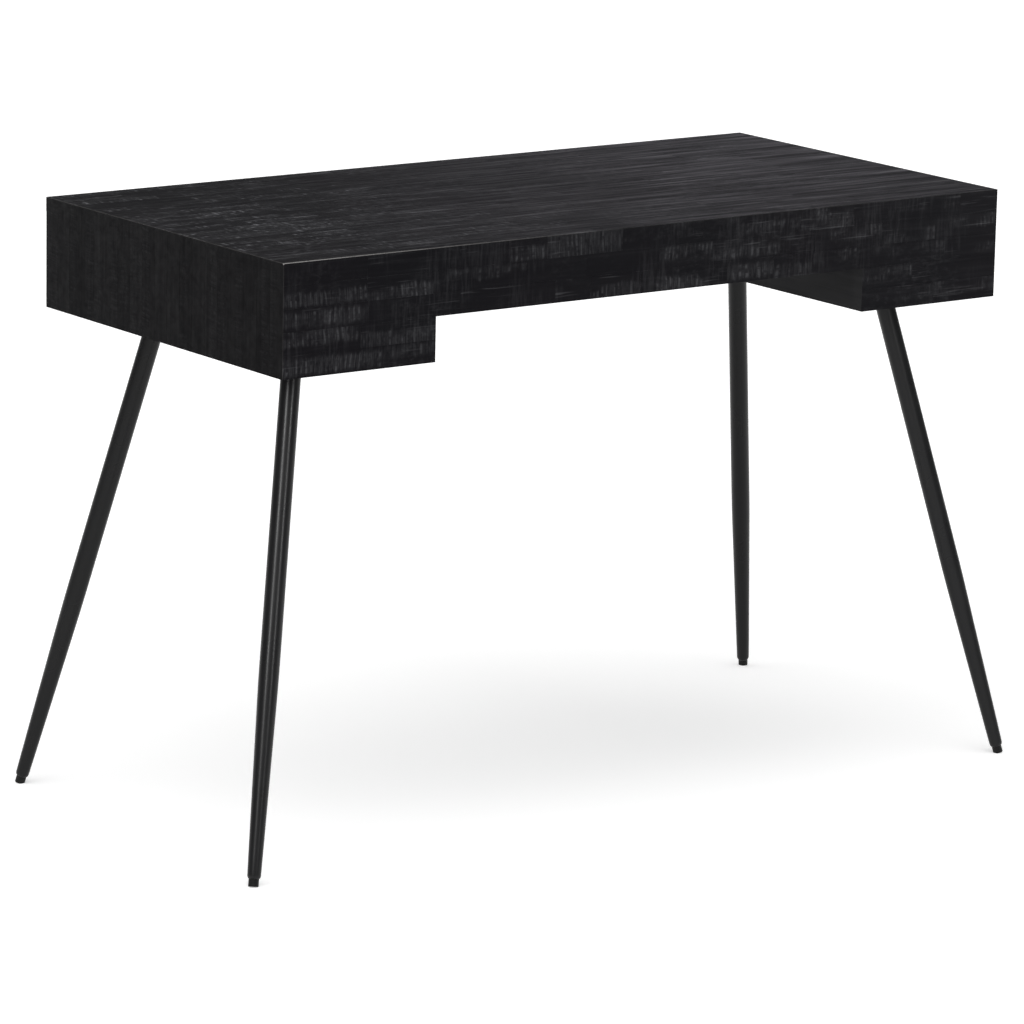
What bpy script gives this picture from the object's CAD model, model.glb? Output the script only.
import math
import random

import bpy
from mathutils import Matrix, Vector


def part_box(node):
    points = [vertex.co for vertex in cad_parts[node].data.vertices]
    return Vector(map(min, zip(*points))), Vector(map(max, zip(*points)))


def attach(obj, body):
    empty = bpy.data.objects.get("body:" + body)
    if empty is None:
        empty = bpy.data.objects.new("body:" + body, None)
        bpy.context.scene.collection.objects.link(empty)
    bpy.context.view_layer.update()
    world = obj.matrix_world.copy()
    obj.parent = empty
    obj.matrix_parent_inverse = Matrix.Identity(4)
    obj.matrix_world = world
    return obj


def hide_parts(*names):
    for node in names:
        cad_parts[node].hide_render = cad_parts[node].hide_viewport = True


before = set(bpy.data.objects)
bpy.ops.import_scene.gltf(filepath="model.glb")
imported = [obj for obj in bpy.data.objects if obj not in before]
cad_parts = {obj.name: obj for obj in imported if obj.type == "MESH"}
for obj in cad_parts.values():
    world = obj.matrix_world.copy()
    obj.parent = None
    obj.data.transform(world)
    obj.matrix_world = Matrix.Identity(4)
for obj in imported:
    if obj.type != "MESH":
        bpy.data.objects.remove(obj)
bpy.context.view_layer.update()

MM = 0.001
X, Y, Z = Vector((1, 0, 0)), Vector((0, 1, 0)), Vector((0, 0, 1))

# The case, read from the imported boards. The drawers open towards +Y, the rear face is at -Y.
TOP_LOW, TOP_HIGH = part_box("top_panel")
_, END_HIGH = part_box("right_side_panel")
BLOCK_LOW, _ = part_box("right_floor_panel")
CENTRE_LOW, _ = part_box("centre_floor_panel")
DIVIDER_LOW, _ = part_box("right_inner_panel")

HALF_LENGTH = END_HIGH.x
HALF_DEPTH = TOP_HIGH.y
HEIGHT = TOP_HIGH.z
BOARD = HEIGHT - TOP_LOW.z          # thickness of the mitred boards
UNDERSIDE = BLOCK_LOW.z
CENTRE_UNDERSIDE = CENTRE_LOW.z
KNEE = DIVIDER_LOW.x                # half the width of the knee space

# Wood strips
COURSE = 28 * MM                    # height of a course of strips on the upright faces
TOP_COURSES = 20
FACING = 1.2 * MM                   # thickness of the modelled strips in front of the core
SEAM = 0.20 * MM                    # bevel of a strip's edge at a seam
ARRIS = 1.1 * MM                    # rounding of the case's outer edges
RELIEF = 0.12 * MM                  # most that one strip lies below its neighbours
FINE_RELIEF = 0.03 * MM             # the same on the worktop and the ends, which are sanded
CORE_FRONT = HALF_DEPTH - FACING    # where the boards' cores end on the drawer side

# Saw marks
SPACINGS = (6.5 * MM, 7 * MM, 8 * MM, 9 * MM, 10 * MM)
TOP_SPACINGS = (9 * MM, 11 * MM, 13 * MM)
LEAST_MARKED = 0.08                 # share of a strip that has marks, where it has any
WEAKEST = 0.55                      # a strip's marks, as a share of what its place allows
SEEDS = 50.0                        # range of the seeds that tell the strips apart

# How much of a strip's width its saw marks cover, as the lowest and highest share.
BANDS = ((-0.2, 1.2), (-0.2, 0.62), (0.34, 1.2), (0.12, 0.84), (0.04, 0.66), (0.36, 0.98))

# Drawer fronts
NOTCH_DEPTH = 20 * MM
NOTCH_HALF_WIDTH = 45 * MM
NOTCH_RADIUS = 5 * MM
SETBACK = 0.3 * MM                  # of the core behind the strips' outer edges

# Legs: each is turned about a line from its foot on the floor to its head at the underside
LEG_FOOT = (586 * MM, 273.5 * MM)
LEG_HEAD = (458 * MM, 152 * MM)
LEG_SIDES = 72
LEG_RADIUS = 12.5 * MM
TIP_RADIUS = 8.4 * MM
MOUTH_RADIUS = 6.1 * MM             # of the opening in the swaged foot
BORE_RADIUS = 5.2 * MM
LEG_START = 9.5 * MM                # the tube's lower end, along the leg
LIP = 5 * MM                        # length of the rounded lip
TAPER_END = 250 * MM
EASE = 30 * MM                      # half the stretch that rounds the taper into the tube
WELD_START = 4.5 * MM               # below the plate
WELD_RINGS = ((0.0, 3.2 * MM), (0.6 * MM, 1.6 * MM), (2.2 * MM, 0.0))   # (spread, drop)
WELD_RIPPLES, RIPPLE = 23, 0.18 * MM

# The camera's place and direction, and its long lens
CAMERA_PLACE = (-4.0625, -5.5885, 1.8992)
YAW, PITCH, ROLL = math.radians(35.905), math.radians(12.721), math.radians(1.163)
SENSOR, LENS = 36.0, 193.7

rng = random.Random(7)


# ---------------------------------------------------------------- mesh building

class Build:
    """Collects vertices, faces and the strip attributes of one piece."""

    def __init__(self):
        self.verts = []
        self.faces = []
        self.skins = []         # which of the piece's two materials a face has
        self.place = []         # along the strip, across the strip, seam (+) or arris (-) wear
        self.marks = []         # amount of saw marks, their spacing, seed
        self.band = []          # lowest and highest mark across the strip, strength

    def add(self, points, faces, place, marks, band, skin=0):
        first = len(self.verts)
        self.verts += [tuple(p) for p in points]
        self.place += place
        self.marks += [marks] * len(points)
        self.band += [band] * len(points)
        for face in faces:
            self.faces.append([first + i for i in face])
            self.skins.append(skin)

    def add_plain(self, points, faces):
        """Faces in the piece's second material, which reads no strip attributes."""
        nothing = (0.0, 0.0, 0.0)
        self.add(points, faces, [nothing] * len(points), nothing, nothing, 1)

    def piece(self, name, materials):
        mesh = bpy.data.meshes.new(name)
        mesh.from_pydata(self.verts, [], self.faces)
        for title, rows in (("strip_place", self.place), ("strip_marks", self.marks),
                            ("strip_band", self.band)):
            layer = mesh.attributes.new(title, "FLOAT_VECTOR", "POINT")
            layer.data.foreach_set("vector", [x for row in rows for x in row])
        for material in materials:
            mesh.materials.append(material)
        mesh.polygons.foreach_set("material_index", self.skins)
        mesh.update()
        return link_mesh(name, mesh)


def link_mesh(name, mesh):
    made = bpy.data.objects.new(name, mesh)
    bpy.context.scene.collection.objects.link(made)
    return made


def reversed_faces(faces):
    return [tuple(reversed(face)) for face in faces]


def full_strength(point):
    return 1.0


class Face:
    """A face that strips are laid on: its directions, and how the strips are cut and marked."""

    def __init__(self, along, across, outward, plain=0.30, strength=full_strength,
                 lengths=(52 * MM, 150 * MM), relief=RELIEF, spacings=SPACINGS):
        self.along, self.across, self.outward = along, across, outward
        self.plain = plain              # share of the strips that have no saw marks
        self.strength = strength        # of the marks at a point
        self.lengths = lengths          # of the shortest and the longest strip
        self.relief = relief
        self.spacings = spacings        # of the saw marks


def draw_style(plain, strength, spacings):
    """The random look of one strip: how much is marked, and how strong its marks are."""
    amount = 0.0
    if rng.random() >= plain:
        amount = max(LEAST_MARKED, rng.uniform(0.8 * strength - 0.15, 0.55 + 0.45 * strength))
    low, high = rng.choice(BANDS)
    own = strength * rng.uniform(WEAKEST, 1.0)
    marks = (amount, rng.choice(spacings), rng.uniform(0, SEEDS))
    return marks, (low * COURSE, high * COURSE, own)


# Rings of one strip's cap, from its flat face outwards: (inset, depth) in bevel widths.
SEAM_RINGS = ((1.0, 0.0), (0.42, 0.10), (0.10, 0.45))
ARRIS_RINGS = ((1.0, 0.0), (0.617, 0.076), (0.293, 0.293))


def side_rings(is_arris):
    """(inset, depth) in metres for each of the four rings beside a seam or an outer arris."""
    if is_arris:
        rings = [(inset * ARRIS, depth * ARRIS) for inset, depth in ARRIS_RINGS]
        return rings + [(rings[-1][0] + FACING, rings[-1][1] + FACING)]
    rings = [(inset * SEAM, depth * SEAM) for inset, depth in SEAM_RINGS]
    return rings + [(0.02 * SEAM, FACING)]


def add_strip(build, face, origin, length, width, arrises, style, sunk=0.0):
    """One wood strip as a cap with bevelled edges.

    origin is its lower left corner on the face, and arrises says for the sides at the start,
    the end, the lower edge and the upper edge whether each is an outer edge of the case. Only
    a strip with no outer edge is sunk below the face.
    """
    start, end, low, high = (side_rings(is_arris) for is_arris in arrises)
    at_start, at_end, at_low, at_high = arrises
    points, place = [], []
    offset = style[0][2] * 0.37         # so that no two strips have the same grain
    for ring in range(4):
        near, far = start[ring][0], length - end[ring][0]
        bottom, top = low[ring][0], width - high[ring][0]
        corners = ((near, bottom, start, low, at_start or at_low),
                   (far, bottom, end, low, at_end or at_low),
                   (far, top, end, high, at_end or at_high),
                   (near, top, start, high, at_start or at_high))
        for u, v, one, other, outer in corners:
            depth = max(one[ring][1], other[ring][1])
            if ring < 3 and not any(arrises):
                depth += sunk
            points.append(origin + face.along * u + face.across * v - face.outward * depth)
            wear = -1.0 if outer else 1.0
            place.append((u + offset, v, wear if ring else 0.0))
    faces = [(0, 1, 2, 3)]
    for ring in range(3):
        a, b = 4 * ring, 4 * (ring + 1)
        for k in range(4):
            nxt = (k + 1) % 4
            faces.append((a + nxt, a + k, b + k, b + nxt))
    if face.along.cross(face.across).dot(face.outward) < 0:
        faces = reversed_faces(faces)
    build.add(points, faces, place, *style)


def cut_lengths(total, shortest, longest):
    """Random strip lengths that fill a course."""
    lengths = []
    left = total
    while left > longest + shortest:
        step = rng.uniform(shortest, longest)
        lengths.append(step)
        left -= step
    if left > longest:
        share = rng.uniform(0.4, 0.6)
        lengths += [left * share, left * (1 - share)]
    else:
        lengths.append(left)
    rng.shuffle(lengths)
    return lengths


def add_course(build, face, origin, total, width, ends, edges):
    """A row of strips. ends and edges say which outer sides of the row are arrises."""
    lengths = cut_lengths(total, *face.lengths)
    at = 0.0
    for index, length in enumerate(lengths):
        first, last = index == 0, index == len(lengths) - 1
        arrises = (ends[0] and first, ends[1] and last, edges[0], edges[1])
        corner = origin + face.along * at
        strength = face.strength(corner + face.along * length / 2)
        style = draw_style(face.plain, strength, face.spacings)
        add_strip(build, face, corner, length, width, arrises, style,
                  rng.uniform(0, face.relief))
        at += length


def add_block(build, low, high, open_below=False):
    """A plain box-shaped core."""
    corners = [Vector((x, y, z)) for z in (low[2], high[2]) for y in (low[1], high[1])
               for x in (low[0], high[0])]
    sides = [(4, 5, 7, 6), (0, 1, 5, 4), (2, 6, 7, 3), (0, 4, 6, 2), (1, 3, 7, 5)]
    if not open_below:
        sides.append((0, 2, 3, 1))
    for side in sides:
        build.add_plain([corners[i] for i in side], [(0, 1, 2, 3)])


def add_prism(build, outline, depth):
    """A closed outline of points, pushed along a vector, with both ends."""
    count = len(outline)
    normal = (outline[1] - outline[0]).cross(outline[2] - outline[1])
    faces = [tuple(range(count)), tuple(range(2 * count - 1, count - 1, -1))]
    faces += [(i, i + count, (i + 1) % count + count, (i + 1) % count) for i in range(count)]
    if normal.dot(depth) > 0:
        faces = reversed_faces(faces)
    build.add_plain(outline + [p + depth for p in outline], faces)


def add_mitred_core(build, outer, inner, caps=((0, 1, 2, 3),), flip=False):
    """A board behind its strips, from its outer outline to the inner one, which the mitres set in.

    caps lists the faces that fill an outline, by the places of their points in it.
    """
    count = len(outer)
    faces = list(caps) + [tuple(count + i for i in reversed(cap)) for cap in caps]
    for i in range(count):
        j = (i + 1) % count
        faces.append((j, i, i + count, j + count))
    build.add_plain(outer + inner, reversed_faces(faces) if flip else faces)


# ---------------------------------------------------------------- material helpers

class Nodes:
    """Short calls for the shader nodes that the materials use."""

    def __init__(self, name):
        self.material = bpy.data.materials.new(name)
        self.material.use_nodes = True
        self.tree = self.material.node_tree
        self.tree.nodes.clear()
        self.shader = self.tree.nodes.new("ShaderNodeBsdfPrincipled")
        output = self.tree.nodes.new("ShaderNodeOutputMaterial")
        self.tree.links.new(self.shader.outputs["BSDF"], output.inputs["Surface"])

    def feed(self, socket, value):
        if isinstance(value, bpy.types.NodeSocket):
            self.tree.links.new(value, socket)
        else:
            socket.default_value = value

    def math(self, operation, a, b=0.0, c=0.0, clamp=False):
        node = self.tree.nodes.new("ShaderNodeMath")
        node.operation = operation
        node.use_clamp = clamp
        for socket, value in zip(node.inputs, (a, b, c)):
            self.feed(socket, value)
        return node.outputs[0]

    def times(self, a, b):
        return self.math("MULTIPLY", a, b)

    def ramp(self, value, low, high, to_low=0.0, to_high=1.0, smooth=True):
        node = self.tree.nodes.new("ShaderNodeMapRange")
        node.interpolation_type = "SMOOTHSTEP" if smooth else "LINEAR"
        for name, x in (("Value", value), ("From Min", low), ("From Max", high),
                        ("To Min", to_low), ("To Max", to_high)):
            self.feed(node.inputs[name], x)
        return node.outputs["Result"]

    def vector(self, x, y, z):
        node = self.tree.nodes.new("ShaderNodeCombineXYZ")
        for socket, value in zip(node.inputs, (x, y, z)):
            self.feed(socket, value)
        return node.outputs[0]

    def parts(self, vector):
        node = self.tree.nodes.new("ShaderNodeSeparateXYZ")
        self.feed(node.inputs[0], vector)
        return node.outputs

    def attribute(self, name):
        node = self.tree.nodes.new("ShaderNodeAttribute")
        node.attribute_name = name
        return node.outputs["Vector"]

    def object_place(self):
        return self.tree.nodes.new("ShaderNodeTexCoord").outputs["Object"]

    def noise(self, vector, scale, detail=2.0, rough=0.5, distort=0.0):
        node = self.tree.nodes.new("ShaderNodeTexNoise")
        self.feed(node.inputs["Vector"], vector)
        for name, x in (("Scale", scale), ("Detail", detail), ("Roughness", rough),
                        ("Distortion", distort)):
            node.inputs[name].default_value = x
        return node.outputs["Fac"]

    def grain(self, axes, scales, detail=2.0, rough=0.5, distort=0.0):
        """Noise with a scale for each axis, so it is drawn out along the axis of the least."""
        scaled = [axis if scale == 1.0 else self.times(axis, scale)
                  for axis, scale in zip(axes, scales)]
        return self.noise(self.vector(*scaled), 1.0, detail, rough, distort)

    def white(self, vector):
        node = self.tree.nodes.new("ShaderNodeTexWhiteNoise")
        self.feed(node.inputs["Vector"], vector)
        return node.outputs["Value"]

    def colours(self, factor, first, second):
        node = self.tree.nodes.new("ShaderNodeMix")
        node.data_type = "RGBA"
        self.feed(node.inputs["Factor"], factor)
        for name, colour in (("A", first), ("B", second)):
            self.feed(node.inputs[name], (*colour, 1) if isinstance(colour, tuple) else colour)
        return node.outputs["Result"]

    def bump(self, height, distance, strength=1.0, before=None):
        node = self.tree.nodes.new("ShaderNodeBump")
        node.inputs["Distance"].default_value = distance
        node.inputs["Strength"].default_value = strength
        self.feed(node.inputs["Height"], height)
        if before is not None:
            self.tree.links.new(before, node.inputs["Normal"])
        return node.outputs["Normal"]

    def finish(self, colour, roughness, normal=None, **constants):
        """The material. constants are named as the shader's sockets, in lower case."""
        self.feed(self.shader.inputs["Base Color"],
                  (*colour, 1) if isinstance(colour, tuple) else colour)
        self.feed(self.shader.inputs["Roughness"], roughness)
        if normal is not None:
            self.feed(self.shader.inputs["Normal"], normal)
        for name, value in constants.items():
            title = name.replace("_", " ").title().replace("Ior", "IOR")
            self.shader.inputs[title].default_value = value
        return self.material


# ---------------------------------------------------------------- the strips' wood

class StripLook:
    """How one face's strips look. A light is a share of the way from the stain to the pale wood."""

    dark = 0.0032           # base colour of the stain
    pale = 0.054            # base colour of the bare wood in the marks
    specular = 0.06
    bar_light = 0.85        # saw marks
    haze_light = 0.22       # the haze that the saw marks lie in
    dash_light = 0.45       # short dashes along the strip
    dash_rise = 0.0         # more of them where the saw marks are strong
    fibre_light = 0.04
    smear_light = 0.20
    breaks = 0.34           # more breaks in the saw marks as it rises
    matt, gloss = 0.60, 0.44
    fibre_relief = 0.0

    def __init__(self, **changes):
        vars(self).update(changes)


MOTTLE_LIGHT, SEAM_LIGHT = 0.24, 0.60
PALE_BLUE = 1.07                        # blue of the pale wood, as a share of its red
WORN_EDGE = (0.26, 0.252, 0.246)
LILAC_GLOSS = (0.985, 0.955, 1.0, 1.0)


def bars_across(n, u, v, spacing, seed, lean, breaks):
    """Soft bars at an uneven spacing, each with its own strength and breaks."""
    wobble = n.grain((u, v, seed), (22.0, 18.0, 1.0))
    phase = n.math("ADD", n.math("DIVIDE", n.math("MULTIPLY_ADD", lean, 0.16, u), spacing),
                   n.times(wobble, 1.3))
    cell = n.math("FLOOR", phase)
    own = n.white(n.vector(cell, seed, 0.0))
    middle = n.math("SUBTRACT", 1.0,
                    n.math("ABSOLUTE", n.math("MULTIPLY_ADD", n.math("FRACT", phase), 2.0, -1.0)))
    bar = n.ramp(n.math("MULTIPLY_ADD", own, 0.35, middle), 0.62, 1.15)
    broken = n.grain((cell, v, seed), (3.7, 150.0, 1.0))
    return n.times(n.times(bar, n.ramp(own, 0.0, 0.9, 0.15, 1.0)),
                   n.ramp(broken, breaks, breaks + 0.22))


def inside_band(n, u, v, seed, low, high):
    """Where the marks lie across a strip, between two ragged, soft borders."""
    ragged = n.grain((u, seed, 0.0), (160.0, 1.0, 1.0), 1.0)
    across = n.math("MULTIPLY_ADD", n.math("SUBTRACT", ragged, 0.5), 10 * MM, v)
    return n.times(n.ramp(n.math("SUBTRACT", across, low), -2.0 * MM, 4.0 * MM),
                   n.ramp(n.math("SUBTRACT", high, across), -2.0 * MM, 4.0 * MM))


def saw_marks(n, u, v, marks, band, breaks):
    """What the saw left on a strip: the bars, and the pale haze that they lie in."""
    amount, spacing, seed = n.parts(marks)
    low, high, strength = n.parts(band)
    lean = n.times(v, n.math("SUBTRACT", n.math("FRACT", seed), 0.5))
    wide = bars_across(n, u, v, spacing, seed, lean, breaks)
    fine = bars_across(n, u, v, n.times(spacing, 0.43), n.math("ADD", seed, 4.0), lean, breaks)

    on = n.times(n.math("GREATER_THAN", amount, 0.01), inside_band(n, u, v, seed, low, high))
    patch = n.grain((u, v, n.math("ADD", seed, 9.0)), (20.0, 32.0, 1.0), 3.0, 0.6)
    patch = n.math("SUBTRACT", patch, n.math("MULTIPLY_ADD", amount, -0.42, 0.74))
    bars = n.math("MAXIMUM", wide, n.times(fine, 0.45))
    bars = n.times(n.times(bars, n.ramp(patch, -0.05, 0.12)), on)
    brushed = n.grain((u, v, seed), (330.0, 45.0, 1.0), 3.0, 0.6)
    haze = n.times(n.times(n.ramp(patch, -0.10, 0.14), on), n.ramp(brushed, 0.30, 0.72))
    return n.times(bars, strength), n.times(haze, strength)


def dashes(n, u, v, seed):
    """Short pale dashes along the strip, in sparse groups."""
    fine = n.grain((u, v, seed), (16.0, 420.0, 1.0), 2.0, 0.5, 0.4)
    groups = n.grain((u, v, n.math("ADD", seed, 21.0)), (11.0, 30.0, 1.0), 1.0)
    return n.times(n.ramp(fine, 0.58, 0.74), n.ramp(groups, 0.50, 0.62))


def mottle(n, u, v, seed):
    """Small pale flecks, in clouds that run across the strips."""
    flecks = n.grain((u, v, seed), (90.0, 150.0, 1.0), 4.0, 0.65)
    cloud = n.noise(n.object_place(), 9.0, 3.0, 0.55)
    return n.times(n.ramp(flecks, 0.46, 0.82), n.ramp(cloud, 0.40, 0.62))


def smears(n, place):
    """Upright smears where the stain was wiped thin."""
    brushed = n.grain(place, (240.0, 240.0, 24.0), 3.0, 0.6)
    return n.times(n.ramp(brushed, 0.42, 0.72), n.ramp(n.noise(n.object_place(), 13.0, 2.0),
                                                       0.46, 0.62))


def chips(n):
    return n.noise(n.object_place(), 210.0, 3.0, 0.6)


def seam_wear(n, edge):
    """Bare wood along some of the seams."""
    patchy = n.noise(n.object_place(), 17.0, 2.0, 0.6)
    worn = n.times(n.math("MAXIMUM", edge, 0.0), n.ramp(patchy, 0.53, 0.66))
    return n.times(worn, n.ramp(chips(n), 0.36, 0.60))


def outer_edge_wear(n, edge, place):
    """Stain worn off the outer edges: most along the worktop's rear edge, towards the left."""
    x, y, z = place
    share = n.math("DIVIDE", n.math("ADD", x, HALF_LENGTH), 2 * HALF_LENGTH)
    along = n.math("POWER", n.ramp(share, 0.0, 0.45, 1.0, 0.0, smooth=False), 1.6)
    within, beyond = 1.6 * MM, 2.2 * MM
    by_top = n.ramp(z, HEIGHT - beyond, HEIGHT - within)
    by_rear = n.times(by_top, n.ramp(y, within - HALF_DEPTH, beyond - HALF_DEPTH, 1.0, 0.0))
    by_left = n.times(by_top, n.ramp(x, within - HALF_LENGTH, beyond - HALF_LENGTH, 1.0, 0.0))
    amount = n.math("MULTIPLY_ADD", by_rear, along, n.math("MULTIPLY_ADD", by_left, 0.07, 0.06))
    outer = n.math("MAXIMUM", n.times(edge, -1.0), 0.0)
    return n.times(n.times(outer, amount), n.ramp(chips(n), 0.34, 0.50, 0.70, 1.0))


def stain(n, dark):
    """The black stain, a little warmer in large soft patches."""
    return n.colours(n.ramp(n.noise(n.object_place(), 3.1, 2.0), 0.42, 0.62),
                     (dark, dark, dark * 1.35), (dark * 1.18, dark * 1.06, dark * 1.45))


def strip_roughness(n, look, place, fibres, seed, bars):
    """Long drifts of polish that run on over the strips, and rougher saw marks."""
    drift = n.grain(place, (5.0, 85.0, 85.0), 3.0, 0.55, 0.6)
    polish = n.math("MULTIPLY_ADD", drift, 0.60, n.times(fibres, 0.40))
    rough = n.ramp(polish, 0.34, 0.66, look.matt, look.gloss, smooth=False)
    rough = n.math("MULTIPLY_ADD", n.white(n.vector(seed, 1.0, 0.0)), 0.05, rough)
    return n.math("MULTIPLY_ADD", bars, 0.08, rough)


def strip_relief(n, look, u, v, seed, fibres, bars):
    """The strip's waviness, its fibres and pores, and the grooves of the saw marks."""
    wave = n.grain((u, v, seed), (9.0, 40.0, 1.0))
    pores = n.grain((u, v, seed), (30.0, 1500.0, 1.0), 2.0, 0.6)
    normal = n.bump(wave, 0.6 * MM, 0.35)
    if look.fibre_relief:
        normal = n.bump(fibres, look.fibre_relief, 0.8, normal)
    normal = n.bump(pores, 0.10 * MM, 0.55, normal)
    return n.bump(bars, 0.30 * MM, 0.85, normal)


def strip_wood(name, look):
    """Black stained rough-sawn strips: plain where they were sanded, marked where they weren't."""
    n = Nodes(name)
    place = n.parts(n.object_place())
    u, v, edge = n.parts(n.attribute("strip_place"))
    marks, band = n.attribute("strip_marks"), n.attribute("strip_band")
    seed, strength = n.parts(marks)[2], n.parts(band)[2]
    bars, haze = saw_marks(n, u, v, marks, band, look.breaks)
    fibres = n.grain((u, v, seed), (6.0, 170.0, 1.0), 3.0, 0.6, 0.5)

    light = n.times(bars, look.bar_light)
    dash_light = n.math("MULTIPLY_ADD", strength, look.dash_rise, look.dash_light)
    for layer, amount in ((haze, look.haze_light), (dashes(n, u, v, seed), dash_light),
                          (mottle(n, u, v, seed), MOTTLE_LIGHT),
                          (smears(n, place), look.smear_light),
                          (n.ramp(fibres, 0.48, 0.72), look.fibre_light)):
        light = n.math("MULTIPLY_ADD", layer, amount, light)
    light = n.math("MULTIPLY_ADD", seam_wear(n, edge), SEAM_LIGHT, light, clamp=True)
    colour = n.colours(light, stain(n, look.dark), (look.pale, look.pale, look.pale * PALE_BLUE))
    colour = n.colours(outer_edge_wear(n, edge, place), colour, WORN_EDGE)
    return n.finish(colour, strip_roughness(n, look, place, fibres, seed, bars),
                    strip_relief(n, look, u, v, seed, fibres, bars),
                    specular_ior_level=look.specular, specular_tint=LILAC_GLOSS)


TOP_LOOK = StripLook(pale=0.210, specular=0.215, bar_light=0.70, haze_light=0.06,
                     dash_light=0.07, dash_rise=0.85, fibre_light=0.06, smear_light=0.0,
                     breaks=0.44, matt=0.72, gloss=0.34, fibre_relief=0.28 * MM)
UPRIGHT_LOOK = StripLook(haze_light=0.36)
END_LOOK = StripLook(dark=0.0013, pale=0.0105, specular=0.030, dash_light=0.2)


# ---------------------------------------------------------------- the other materials

BROWN_DARK, BROWN_PALE = (0.160, 0.088, 0.042), (0.330, 0.205, 0.112)


def plain_wood(name, dark, pale, roughness, along="x", specular=0.3):
    """Smooth boards: long grain with pores, in the object's own metres."""
    n = Nodes(name)
    x, y, z = n.parts(n.object_place())
    axes = {"x": (x, y, z), "y": (y, z, x), "z": (z, x, y)}[along]
    rings = n.grain(axes, (3.0, 60.0, 60.0), 4.0, 0.6, 0.8)
    pores = n.grain(axes, (60.0, 1400.0, 1400.0), 2.0, 0.6)
    factor = n.math("MULTIPLY_ADD", n.ramp(pores, 0.55, 0.75), -0.35, n.ramp(rings, 0.3, 0.7),
                    clamp=True)
    rough = n.ramp(rings, 0.3, 0.7, roughness + 0.06, roughness - 0.04)
    normal = n.bump(rings, 0.15 * MM, 0.35, n.bump(pores, 0.08 * MM, 0.5))
    return n.finish(n.colours(factor, dark, pale), rough, normal, specular_ior_level=specular)


def powder_coat():
    """Satin black powder coat with its fine orange peel."""
    n = Nodes("powder_coat")
    peel = n.noise(n.object_place(), 900.0, 2.0, 0.5)
    speck = n.noise(n.object_place(), 2600.0, 1.0)
    drift = n.noise(n.object_place(), 14.0, 2.0)
    colour = n.colours(n.ramp(speck, 0.62, 0.75), (0.0060, 0.0060, 0.0064),
                       (0.014, 0.014, 0.015))
    rough = n.ramp(drift, 0.3, 0.7, 0.26, 0.32)
    return n.finish(colour, rough, n.bump(peel, 0.05 * MM, 0.6), specular_ior_level=0.20)


def moulded_plastic():
    """Black plastic, scuffed by the floor."""
    n = Nodes("moulded_plastic")
    fine = n.noise(n.object_place(), 2200.0, 2.0)
    scuff = n.noise(n.object_place(), 260.0, 3.0, 0.6)
    colour = n.colours(n.ramp(scuff, 0.5, 0.75), (0.005, 0.005, 0.005), (0.016, 0.015, 0.015))
    return n.finish(colour, n.ramp(scuff, 0.4, 0.7, 0.5, 0.7), n.bump(fine, 0.03 * MM, 0.5),
                    specular_ior_level=0.2)


def black_zinc():
    """Black zinc plate on the screws."""
    n = Nodes("black_zinc")
    streak = n.noise(n.object_place(), 700.0, 3.0, 0.6)
    colour = n.colours(n.ramp(streak, 0.4, 0.7), (0.035, 0.035, 0.037), (0.10, 0.10, 0.105))
    return n.finish(colour, n.ramp(streak, 0.4, 0.7, 0.28, 0.42), n.bump(streak, 0.02 * MM, 0.4),
                    metallic=0.9)


MATERIALS = {
    "top": strip_wood("strip_wood_top", TOP_LOOK),
    "upright": strip_wood("strip_wood_upright", UPRIGHT_LOOK),
    "end": strip_wood("strip_wood_end", END_LOOK),
    "smooth_black": plain_wood("smooth_black_wood", (0.0040, 0.0040, 0.0048),
                               (0.0068, 0.0066, 0.0078), 0.50, "y", 0.08),
    "drawer_wood": plain_wood("drawer_wood", BROWN_DARK, BROWN_PALE, 0.52, "y"),
    "drawer_wood_across": plain_wood("drawer_wood_across", BROWN_DARK, BROWN_PALE, 0.52, "x"),
    "hardwood": plain_wood("waxed_hardwood", (0.200, 0.112, 0.055), (0.360, 0.225, 0.125), 0.40,
                           "y", 0.35),
    "beech": plain_wood("beech", (0.42, 0.28, 0.16), (0.56, 0.41, 0.26), 0.55, "x"),
    "powder": powder_coat(),
    "plastic": moulded_plastic(),
    "zinc": black_zinc(),
}


# ---------------------------------------------------------------- case boards

def place_piece(build, name, material, body, node):
    """A board with strips, riding on a body in place of a CAD node."""
    made = build.piece(name, (MATERIALS[material], MATERIALS["smooth_black"]))
    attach(made, body)
    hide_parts(node)


def share_from_left(point):
    return (point.x + HALF_LENGTH) / (2 * HALF_LENGTH)


def top_strength(point):
    """The worktop's marks are strong in its left half and near the rear edge, faint elsewhere."""
    share = share_from_left(point)
    near_rear = max(0.0, -point.y / HALF_DEPTH)
    left = max(0.0, 1.0 - share / 0.50)
    return min(1.0, 0.10 + 1.15 * left + 0.30 * near_rear * (1.0 - share))


def rear_strength(point):
    """The rear face's marks fade evenly from left to right."""
    return 1.0 - 0.45 * share_from_left(point)


def add_mitre_tip(build, side, face, other):
    """A mitred board's end at the drawer side: its half of the corner, with a rounded tip.

    face is the way that the board faces, and other the way that its neighbour faces.
    """
    corner = Vector((side * (HALF_LENGTH - BOARD), HALF_DEPTH, HEIGHT - BOARD))
    level = BOARD - 0.2 * MM
    tip = corner + (face + other) * (BOARD - ARRIS * ARRIS_RINGS[-1][0])
    outline = [corner, tip, corner + face * level + other * (BOARD - ARRIS),
               corner + face * level]
    add_prism(build, outline, -Y * FACING)


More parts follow.
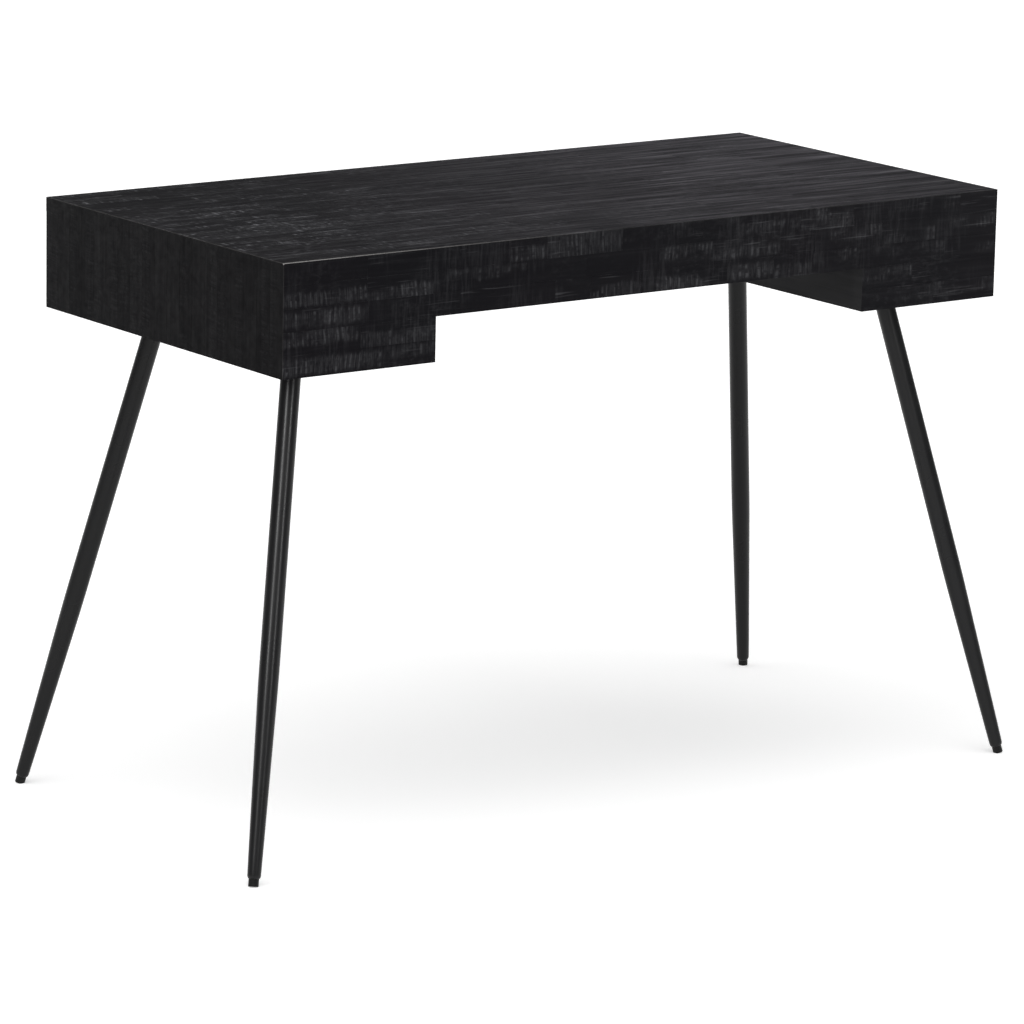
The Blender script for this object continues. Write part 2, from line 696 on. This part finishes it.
def make_top():
    """The worktop: long courses from end to end, and its edge above the drawers."""
    build = Build()
    face = Face(X, Y, Z, 0.12, top_strength, (70 * MM, 230 * MM), FINE_RELIEF, TOP_SPACINGS)
    pitch = 2 * HALF_DEPTH / TOP_COURSES
    for row in range(TOP_COURSES):
        origin = Vector((-HALF_LENGTH, -HALF_DEPTH + row * pitch, HEIGHT))
        add_course(build, face, origin, 2 * HALF_LENGTH, pitch, (True, True),
                   (row == 0, row == TOP_COURSES - 1))
    outlines = []
    for inset in (FACING, BOARD):
        x, rear, z = HALF_LENGTH - inset, inset - HALF_DEPTH, HEIGHT - inset
        outlines.append([Vector((-x, rear, z)), Vector((x, rear, z)),
                         Vector((x, CORE_FRONT, z)), Vector((-x, CORE_FRONT, z))])
    add_mitred_core(build, *outlines)
    edge = Face(X, Z, Y, 0.7, lengths=(120 * MM, 320 * MM))
    add_course(build, edge, Vector((BOARD - HALF_LENGTH, HALF_DEPTH, HEIGHT - BOARD)),
               2 * (HALF_LENGTH - BOARD), BOARD, (False, False), (False, True))
    for side in (-1, 1):
        add_mitre_tip(build, side, Z, X * side)
    place_piece(build, "worktop", "top", "desk", "top_panel")


# The faces that fill the rear board's outline, which steps up over the knee space.
STEPPED_CAPS = ((0, 1, 2, 8, 9), (2, 3, 7, 8), (3, 4, 5, 6, 7))


def stepped_outline(inset):
    """The rear board's outline at a depth, anticlockwise from its lower left corner."""
    end, top = HALF_LENGTH - inset, HEIGHT - inset
    flat = ((-end, UNDERSIDE), (-KNEE, UNDERSIDE), (-KNEE, CENTRE_UNDERSIDE),
            (KNEE, CENTRE_UNDERSIDE), (KNEE, UNDERSIDE), (end, UNDERSIDE), (end, top),
            (KNEE, top), (-KNEE, top), (-end, top))
    return [Vector((x, inset - HALF_DEPTH, z)) for x, z in flat]


def make_rear():
    """The rear face: courses that run on from block to block above the knee space."""
    build = Build()
    face = Face(X, Z, -Y, 0.32, rear_strength)
    left_block = Face(X, Z, -Y, 0.12, rear_strength)
    rows = round((HEIGHT - UNDERSIDE) / COURSE)
    centre_rows = round((HEIGHT - CENTRE_UNDERSIDE) / COURSE)
    for row in range(rows):
        spans = [(-HALF_LENGTH, HALF_LENGTH, face)]
        if row >= centre_rows:
            spans = [(-HALF_LENGTH, -KNEE, left_block), (KNEE, HALF_LENGTH, face)]
        for left, right, span_face in spans:
            origin = Vector((left, -HALF_DEPTH, HEIGHT - (row + 1) * COURSE))
            ends = (left == -HALF_LENGTH, right == HALF_LENGTH)
            add_course(build, span_face, origin, right - left, COURSE, ends, (False, row == 0))
    add_mitred_core(build, stepped_outline(FACING), stepped_outline(BOARD), STEPPED_CAPS)
    place_piece(build, "rear_face", "upright", "desk", "rear_panel")


def make_side(side):
    """An end of the case: short upright strips across the depth of the desk."""
    build = Build()
    height = HEIGHT - UNDERSIDE
    face = Face(Z, Y, X * side, lengths=(46 * MM, height), relief=FINE_RELIEF)
    columns = round(2 * HALF_DEPTH / COURSE)
    pitch = 2 * HALF_DEPTH / columns
    for column in range(columns):
        origin = Vector((side * HALF_LENGTH, -HALF_DEPTH + column * pitch, UNDERSIDE))
        edges = (column == 0, column == columns - 1)
        add_course(build, face, origin, height, pitch, (False, True), edges)
    outlines = []
    for inset in (FACING, BOARD):
        x, rear, top = side * (HALF_LENGTH - inset), inset - HALF_DEPTH, HEIGHT - inset
        outlines.append([Vector((x, rear, UNDERSIDE)), Vector((x, CORE_FRONT, UNDERSIDE)),
                         Vector((x, CORE_FRONT, top)), Vector((x, rear, top))])
    add_mitred_core(build, *outlines, flip=side < 0)
    edge_x = HALF_LENGTH if side > 0 else BOARD - HALF_LENGTH
    add_strip(build, Face(Z, -X, Y), Vector((edge_x, HALF_DEPTH, UNDERSIDE)), height - BOARD,
              BOARD, (False, False, side > 0, side < 0), draw_style(0.5, 0.7, SPACINGS))
    add_mitre_tip(build, side, X * side, Z)
    name = "left" if side < 0 else "right"
    place_piece(build, f"{name}_end_face", "end", "desk", f"{name}_side_panel")


# ---------------------------------------------------------------- drawer fronts

def add_drawer_strips(build, low, high, notch, notch_low):
    """Strips over the whole width below the finger notch, and on both sides of it."""
    face = Face(-X, Z, Y)
    rows = max(1, round((notch_low - low.z) / COURSE))
    pitch = (notch_low - low.z) / rows
    for row in range(rows):
        add_course(build, face, Vector((high.x, HALF_DEPTH, low.z + row * pitch)),
                   high.x - low.x, pitch, (True, True), (row == 0, False))
    for left, right in ((low.x, notch[0]), (notch[1], high.x)):
        add_course(build, face, Vector((right, HALF_DEPTH, notch_low)), right - left,
                   high.z - notch_low, (right == high.x, left == low.x), (False, True))


def add_drawer_core(build, low, high, notch, notch_low):
    """The board behind the strips: three blocks, and fillets in the notch's lower corners."""
    back = low.y
    x_low, x_high = low.x + SETBACK, high.x - SETBACK
    z_low, z_high = low.z + SETBACK, high.z - SETBACK
    add_block(build, (x_low, back, z_low), (x_high, CORE_FRONT, notch_low))
    add_block(build, (x_low, back, notch_low), (notch[0], CORE_FRONT, z_high), open_below=True)
    add_block(build, (notch[1], back, notch_low), (x_high, CORE_FRONT, z_high), open_below=True)
    front = HALF_DEPTH - SETBACK
    for x, way in ((notch[0], X), (notch[1], -X)):
        corner = Vector((x, front, notch_low))
        centre = corner + way * NOTCH_RADIUS + Z * NOTCH_RADIUS
        arc = [centre - way * NOTCH_RADIUS * math.cos(a) - Z * NOTCH_RADIUS * math.sin(a)
               for a in (math.radians(15 * k) for k in range(7))]
        add_prism(build, [corner] + arc, -Y * (front - back))


def make_drawer_front(name):
    """A drawer's front, with a finger notch in its top edge."""
    low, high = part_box(f"{name}_drawer_front")
    middle = (low.x + high.x) / 2
    notch = (middle - NOTCH_HALF_WIDTH, middle + NOTCH_HALF_WIDTH)
    notch_low = high.z - NOTCH_DEPTH
    build = Build()
    add_drawer_strips(build, low, high, notch, notch_low)
    add_drawer_core(build, low, high, notch, notch_low)
    place_piece(build, f"{name}_drawer_face", "upright", f"{name}_drawer",
                f"{name}_drawer_front")


# ---------------------------------------------------------------- legs

def leg_profile(length, weld):
    """(radius, distance along the leg) from inside the tube's mouth up to its weld."""
    slope = (LEG_RADIUS - TIP_RADIUS) / (TAPER_END - LEG_START)
    profile = [(BORE_RADIUS, LEG_START + 3 * MM), (BORE_RADIUS, LEG_START + 0.2 * MM),
               (MOUTH_RADIUS, LEG_START)]
    for step in range(1, 7):
        angle = math.radians(15 * step)
        profile.append((MOUTH_RADIUS + (TIP_RADIUS - MOUTH_RADIUS) * math.sin(angle),
                        LEG_START + LIP * (1 - math.cos(angle))))
    taper_start = LEG_START + LIP
    for step in range(1, 9):
        along = taper_start + (TAPER_END - EASE - taper_start) * step / 8
        profile.append((TIP_RADIUS + slope * (along - LEG_START), along))
    for step in range(1, 9):
        share = step / 8
        along = TAPER_END - EASE + 2 * EASE * share
        profile.append((LEG_RADIUS - slope * EASE * (1 - share) ** 2, along))
    # The ring just below the weld keeps the shading of the long straight stretch even.
    return profile + [(LEG_RADIUS, length * 0.75), (LEG_RADIUS, weld - 6 * MM),
                      (LEG_RADIUS, weld)]


def leg_rings(foot, head, plate_low):
    """The points of the turned leg, ring by ring, and of the level rings of its weld."""
    line = head - foot
    rise = line.normalized()
    turn = Z.rotation_difference(rise).to_matrix()
    angles = [2 * math.pi * k / LEG_SIDES for k in range(LEG_SIDES)]
    points = []
    weld = line.length * (plate_low - WELD_START) / UNDERSIDE
    for radius, along in leg_profile(line.length, weld):
        points += [foot + turn @ Vector((radius * math.cos(a), radius * math.sin(a), along))
                   for a in angles]
    for spread, drop in WELD_RINGS:
        centre = foot + line * ((plate_low - drop) / UNDERSIDE)
        for a in angles:
            radius = LEG_RADIUS + spread
            if spread:
                radius += RIPPLE * math.sin(a * WELD_RIPPLES)
            spoke = turn @ Vector((radius * math.cos(a), radius * math.sin(a), 0.0))
            points.append(centre + spoke - rise * (spoke.z / rise.z))
    return points


def make_leg(node):
    """The tapered tube as a turned mesh along the leg's own line, with its weld."""
    tube_low, tube_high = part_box(node)
    side_x = math.copysign(1, tube_low.x + tube_high.x)
    side_y = math.copysign(1, tube_low.y + tube_high.y)
    foot = Vector((side_x * LEG_FOOT[0], side_y * LEG_FOOT[1], 0.0))
    head = Vector((side_x * LEG_HEAD[0], side_y * LEG_HEAD[1], UNDERSIDE))
    points = leg_rings(foot, head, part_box(node.replace("tube", "plate"))[0].z)
    faces = []
    for first in range(0, len(points) - LEG_SIDES, LEG_SIDES):
        for k in range(LEG_SIDES):
            a, b = first + k, first + (k + 1) % LEG_SIDES
            faces.append((a, b, b + LEG_SIDES, a + LEG_SIDES))
    mesh = bpy.data.meshes.new(node)
    mesh.from_pydata([tuple(p) for p in points], [], faces)
    mesh.polygons.foreach_set("use_smooth", [True] * len(faces))
    mesh.materials.append(MATERIALS["powder"])
    made = link_mesh(node.replace("_tube", ""), mesh)
    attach(made, "desk")
    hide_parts(node)


# ---------------------------------------------------------------- carried-over CAD nodes

# How a node's name ends, its material, and the width of its softened edges.
CAD_FINISHES = (
    ("_inner_panel", "smooth_black", 0.5 * MM),
    ("_floor_panel", "smooth_black", 0.5 * MM),
    ("_drawer_left_side", "drawer_wood", 0.5 * MM),
    ("_drawer_right_side", "drawer_wood", 0.5 * MM),
    ("_drawer_back", "drawer_wood_across", 0.5 * MM),
    ("_drawer_bottom", "drawer_wood_across", 0.0),
    ("_runner_left", "hardwood", 0.4 * MM),
    ("_runner_right", "hardwood", 0.4 * MM),
    ("_stop_block", "hardwood", 0.6 * MM),
    ("_leg_plate", "powder", 0.4 * MM),
    ("_foot_glide", "plastic", 0.0),
    ("_screws", "zinc", 0.0),
    ("_dowels", "beech", 0.0),
)


def soften_edges(node, width):
    soften = node.modifiers.new("edges", "BEVEL")
    soften.width = width
    soften.segments = 2
    soften.limit_method = "ANGLE"
    soften.angle_limit = math.radians(50)


def finish_cad_nodes():
    """Materials and softened edges for the CAD parts that keep their own shape."""
    for name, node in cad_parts.items():
        if node.hide_render:
            continue
        for ending, material, bevel in CAD_FINISHES:
            if name.endswith(ending):
                node.data.materials.clear()
                node.data.materials.append(MATERIALS[material])
                if bevel:
                    soften_edges(node, bevel)
                break


# ---------------------------------------------------------------- stage

WHITE = (1.0, 1.0, 1.0)
LILAC = (1.0, 0.95, 1.06)
FLOOR_HALF = 40.0
WALL_RADIUS, WALL_HEIGHT, WALL_SIDES = 38.0, 60.0, 64


def make_floor():
    """A pale floor that glows a little, so that it comes out white round the soft shadow."""
    half = FLOOR_HALF
    mesh = bpy.data.meshes.new("floor")
    mesh.from_pydata([(-half, -half, 0), (half, -half, 0), (half, half, 0), (-half, half, 0)], [],
                     [(0, 1, 2, 3)])
    n = Nodes("pale_floor")
    faint = n.noise(n.object_place(), 0.6, 2.0)
    colour = n.colours(n.ramp(faint, 0.3, 0.7), (0.90, 0.90, 0.90), (0.92, 0.92, 0.92))
    mesh.materials.append(n.finish(colour, 0.75, specular_ior_level=0.1,
                                   emission_color=(*WHITE, 1.0), emission_strength=0.45))
    link_mesh("floor", mesh)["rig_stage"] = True


def make_backdrop():
    """A white wall all round, far off, that only the camera sees, so it lights nothing."""
    ring = [(WALL_RADIUS * math.cos(a), WALL_RADIUS * math.sin(a))
            for a in (2 * math.pi * k / WALL_SIDES for k in range(WALL_SIDES))]
    verts = [(x, y, z) for z in (0.0, WALL_HEIGHT) for x, y in ring]
    faces = [(k, (k + 1) % WALL_SIDES, (k + 1) % WALL_SIDES + WALL_SIDES, k + WALL_SIDES)
             for k in range(WALL_SIDES)]
    mesh = bpy.data.meshes.new("backdrop")
    mesh.from_pydata(verts, [], faces)
    n = Nodes("white_wall")
    mesh.materials.append(n.finish((0.0, 0.0, 0.0), 1.0, specular_ior_level=0.0,
                                   emission_color=(*WHITE, 1.0), emission_strength=1.0))
    wall = link_mesh("backdrop", mesh)
    for rays in ("visible_diffuse", "visible_glossy", "visible_transmission", "visible_shadow"):
        setattr(wall, rays, False)
    wall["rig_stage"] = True


def light_only(light, pieces):
    """Links the light to these pieces, so that it lights nothing else."""
    receivers = bpy.data.collections.new(light.name + "_receivers")
    for piece in pieces:
        receivers.objects.link(piece)
    light.light_linking.receiver_collection = receivers


def make_card(name, place, aim, size, power, pieces, colour=WHITE):
    """A rectangular light that lights only some pieces."""
    light = bpy.data.lights.new(name, "AREA")
    light.color = colour
    light.shape = "RECTANGLE"
    light.size, light.size_y = size
    light.energy = power
    made = bpy.data.objects.new(name, light)
    made.location = place
    made.rotation_euler = (Vector(aim) - Vector(place)).to_track_quat("-Z", "Y").to_euler()
    bpy.context.scene.collection.objects.link(made)
    light_only(made, pieces)


def make_room():
    """A dim white room with a broad soft key light from above, on the left and to the rear."""
    world = bpy.data.worlds.new("studio")
    world.use_nodes = True
    background = world.node_tree.nodes["Background"]
    background.inputs["Color"].default_value = (*WHITE, 1.0)
    background.inputs["Strength"].default_value = 0.12
    bpy.context.scene.world = world
    light = bpy.data.lights.new("key", "SUN")
    light.angle = math.radians(90)
    light.energy = 2.7
    key = bpy.data.objects.new("key", light)
    key.rotation_euler = Vector((-0.34, -0.32, 0.88)).to_track_quat("Z", "Y").to_euler()
    bpy.context.scene.collection.objects.link(key)


def make_cards():
    """Cards beside the desk for the wood's reflections, and strips for the two rear legs'."""
    desk = [o for o in bpy.context.scene.objects if o.type == "MESH" and "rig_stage" not in o]
    wood = [o for o in desk if "_leg" not in o.name]
    outside = [o for o in wood if "_inner_panel" not in o.name and "_floor_panel" not in o.name]
    top = [bpy.data.objects["worktop"]]
    legs = [bpy.data.objects["rear_left_leg"], bpy.data.objects["rear_right_leg"]]
    make_card("far_card", (2.20, 1.60, 1.16), (0.5, 0.1, 0.70), (1.4, 1.1), 1.55, top, LILAC)
    make_card("edge_card", (0.90, 0.98, 0.96), (0.45, 0.20, 0.755), (0.8, 0.2), 0.20, top, LILAC)
    make_card("left_card", (-1.60, 1.85, 0.40), (-0.55, 0.2, 0.68), (0.7, 0.9), 5.0, wood)
    make_card("right_card", (1.75, -1.50, 0.42), (0.54, -0.27, 0.68), (0.5, 0.7), 4.6, wood)
    make_card("seat_card", (0.50, 2.60, 0.42), (0.0, HALF_DEPTH, 0.68), (1.8, 0.5), 20.0, outside)
    make_card("end_card", (2.70, 0.50, 0.40), (HALF_LENGTH, 0.0, 0.68), (0.9, 0.5), 38.0, outside)
    for name, place, power in (("left_strip", (-3.75, -2.15, 2.10), 86),
                               ("near_strip", (-0.2, -3.9, 1.8), 50)):
        make_card(name, place, (-0.5, -0.25, 0.4), (0.35, 1.6), power, legs)


def make_camera():
    """A long lens from the rear left, a little above the worktop."""
    forward = Vector((math.sin(YAW) * math.cos(PITCH), math.cos(YAW) * math.cos(PITCH),
                      -math.sin(PITCH)))
    level = Vector((math.cos(YAW), -math.sin(YAW), 0.0))
    rise = level.cross(forward)
    right = level * math.cos(ROLL) + rise * math.sin(ROLL)
    up = rise * math.cos(ROLL) - level * math.sin(ROLL)
    camera = bpy.data.cameras.new("camera")
    camera.sensor_width = SENSOR
    camera.lens = LENS
    camera.clip_end = 200.0
    made = bpy.data.objects.new("camera", camera)
    turn = Matrix((right, up, -forward)).transposed()
    made.matrix_world = Matrix.Translation(CAMERA_PLACE) @ turn.to_4x4()
    bpy.context.scene.collection.objects.link(made)
    bpy.context.scene.camera = made


make_camera()
make_top()
make_rear()
make_side(-1)
make_side(1)
for drawer in ("left", "centre", "right"):
    make_drawer_front(drawer)
for leg in sorted(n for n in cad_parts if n.endswith("_leg_tube")):
    make_leg(leg)
finish_cad_nodes()
make_floor()
make_backdrop()
make_room()
make_cards()
bpy.context.scene.view_settings.view_transform = "Standard"
